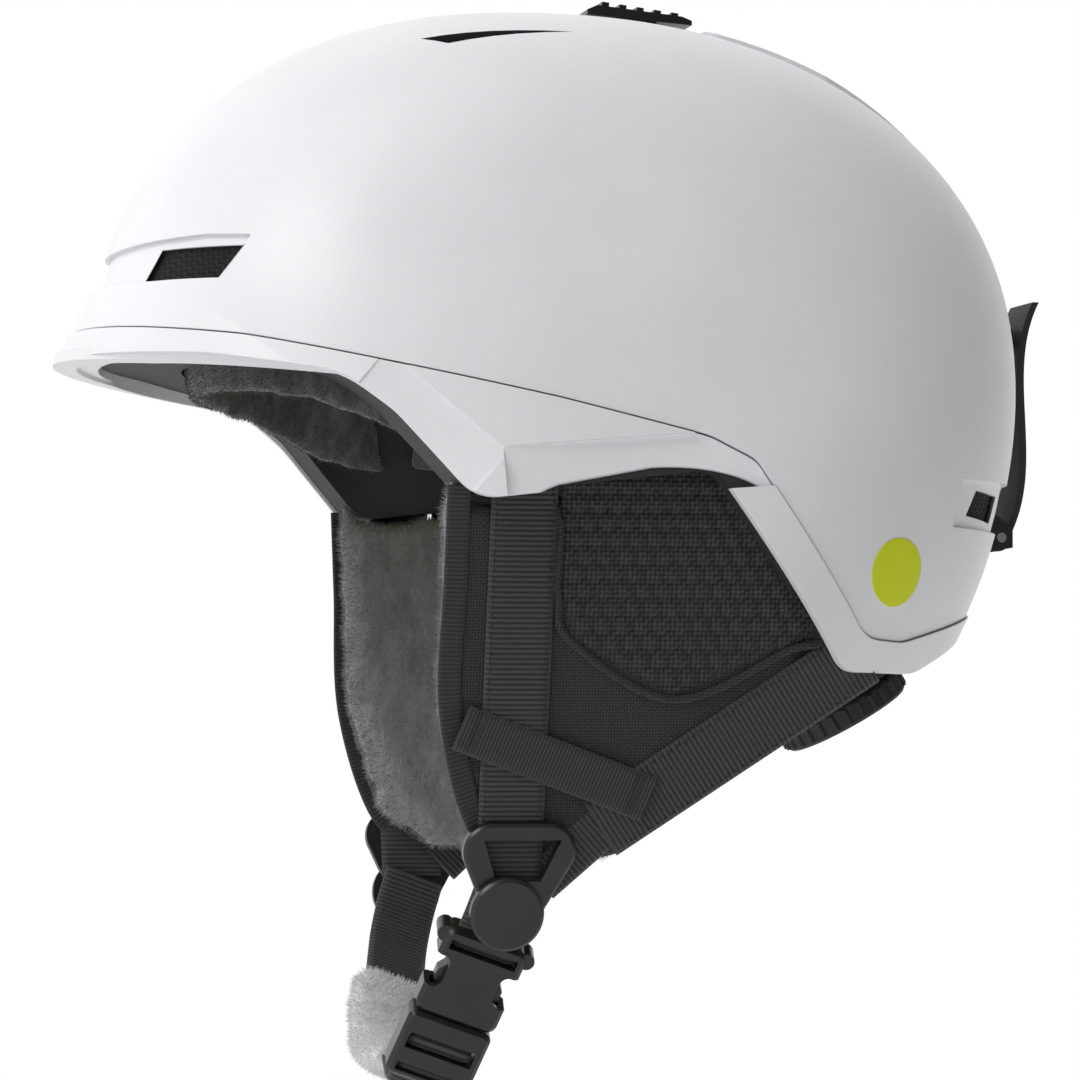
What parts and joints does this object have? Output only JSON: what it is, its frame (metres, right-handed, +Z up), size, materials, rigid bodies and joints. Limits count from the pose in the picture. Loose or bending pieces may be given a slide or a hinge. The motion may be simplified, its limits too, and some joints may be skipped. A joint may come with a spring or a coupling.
{
  "type": "ski helmet",
  "caption": "Ski helmet with brim, sliding crown vent, soft ear pads, rear fit dial, goggle-strap clip and a padded chin strap with side-release buckle",
  "frame": {"origin": "In the symmetry plane at the shell's widest level, where a wearer's head sits inside the liner: 112 mm in from each side, 130 mm behind the shell's front and 145 mm ahead of its rear.", "axes": "+Z up, front faces -Y, +X is the wearer's left."},
  "size_m": [0.2226, 0.2968, 0.3233],
  "materials": {
    "shell_white": "satin",
    "foam_black": "beaded foam",
    "slip_layer": "satin",
    "elastomer_black": "matte",
    "emblem_yellow": "satin",
    "plastic_black": "fine grain",
    "rubber_black": "matte",
    "pin_steel": "brushed",
    "plush_grey": "short plush",
    "plush_light": "short plush",
    "webbing_black": "ribbed webbing",
    "cover_black": "plain weave",
    "mesh_black": "spacer mesh"
  },
  "bodies": {
    "helmet": {"brow_pad": "plush_grey", "clip_bracket": "plastic_black", "clip_pin": "pin_steel", "clip_stop": "plastic_black", "crown_pad": "plush_grey", "divider_cap_left": "plastic_black", "divider_cap_right": "plastic_black", "ear_cover_left": "cover_black", "ear_cover_right": "cover_black", "ear_fleece_left": "plush_light", "ear_fleece_right": "plush_light", "ear_mesh_left": "mesh_black", "ear_mesh_right": "mesh_black", "ear_snaps_left": "plastic_black", "ear_snaps_right": "plastic_black", "emblem_disc": "emblem_yellow", "fit_hangers": "plastic_black", "fit_housing": "plastic_black", "foam_liner": "foam_black", "front_vent_mesh_left": "mesh_black", "front_vent_mesh_right": "mesh_black", "front_webbing_left": "webbing_black", "front_webbing_right": "webbing_black", "keeper_strap_left": "webbing_black", "keeper_strap_right": "webbing_black", "lower_shell": "shell_white", "nape_cradle": "plush_grey", "nape_pad": "plush_grey", "rear_vent_mesh_left": "mesh_black", "rear_vent_mesh_right": "mesh_black", "rear_webbing_left": "webbing_black", "rear_webbing_right": "webbing_black", "slip_anchor_pins": "elastomer_black", "slip_liner": "slip_layer", "strap_divider_left": "plastic_black", "strap_divider_right": "plastic_black", "temple_pad_left": "plush_grey", "temple_pad_right": "plush_grey", "upper_shell": "shell_white"},
    "vent_slider": {"vent_knob": "plastic_black", "vent_shutter": "plastic_black"},
    "goggle_clip_body": {"goggle_clip": "rubber_black"},
    "fit_dial_body": {"fit_dial": "rubber_black", "fit_shaft": "plastic_black"},
    "fit_arm_left_body": {"fit_arm_left": "plastic_black"},
    "fit_arm_right_body": {"fit_arm_right": "plastic_black"},
    "chin_loop": {"chin_strap_left": "webbing_black", "chin_strap_right": "webbing_black", "chin_pad": "plush_light", "buckle_socket": "plastic_black"},
    "buckle_plug_body": {"buckle_plug": "plastic_black", "chin_strap_tail": "webbing_black"},
    "buckle_arm_front_body": {"buckle_arm_front": "plastic_black"},
    "buckle_arm_rear_body": {"buckle_arm_rear": "plastic_black"}
  },
  "joints": [
    {"name": "vent_slide", "type": "slide", "parent": "helmet", "child": "vent_slider", "axis": [0, -1, 0], "range_m": [0, 0.012]},
    {"name": "goggle_clip_swing", "type": "hinge", "parent": "helmet", "child": "goggle_clip_body", "pos_m": [0, 0.1428, -0.0445], "axis": [-1, 0, 0], "range_deg": [0, 70]},
    {"name": "fit_dial_turn", "type": "hinge", "parent": "helmet", "child": "fit_dial_body", "pos_m": [0, 0.097, -0.096], "axis": [0, 0.5, -0.866], "range_deg": [0, 150]},
    {"name": "fit_arm_left_slide", "type": "slide", "parent": "helmet", "child": "fit_arm_left_body", "axis": [-1, 0, 0], "range_m": [0, 0.008]},
    {"name": "fit_arm_right_slide", "type": "slide", "parent": "helmet", "child": "fit_arm_right_body", "axis": [1, 0, 0], "range_m": [0, 0.008]},
    {"name": "chin_loop_swing", "type": "hinge", "parent": "helmet", "child": "chin_loop", "pos_m": [0, -0.0222, -0.1518], "axis": [1, 0, 0], "range_deg": [-45, 40]},
    {"name": "buckle_pull", "type": "slide", "parent": "chin_loop", "child": "buckle_plug_body", "axis": [-0.4003, -0.3134, -0.8611], "range_m": [0, 0.025]},
    {"name": "buckle_squeeze_front", "type": "hinge", "parent": "buckle_plug_body", "child": "buckle_arm_front_body", "pos_m": [0.05626, -0.0393, -0.18052], "axis": [-0.9164, 0.1369, 0.3762], "range_deg": [0, 8], "stiffness_Nm_per_rad": 0.05},
    {"name": "buckle_squeeze_rear", "type": "hinge", "parent": "buckle_plug_body", "child": "buckle_arm_rear_body", "pos_m": [0.05626, -0.02756, -0.18479], "axis": [0.9164, -0.1369, -0.3762], "range_deg": [0, 8], "stiffness_Nm_per_rad": 0.05}
  ],
  "couplings": [
    {"joint": "fit_arm_left_slide", "follows": "fit_dial_turn", "m_per_rad": 0.003056},
    {"joint": "fit_arm_right_slide", "follows": "fit_dial_turn", "m_per_rad": 0.003056},
    {"joint": "buckle_squeeze_rear", "follows": "buckle_squeeze_front", "ratio": 1}
  ]
}
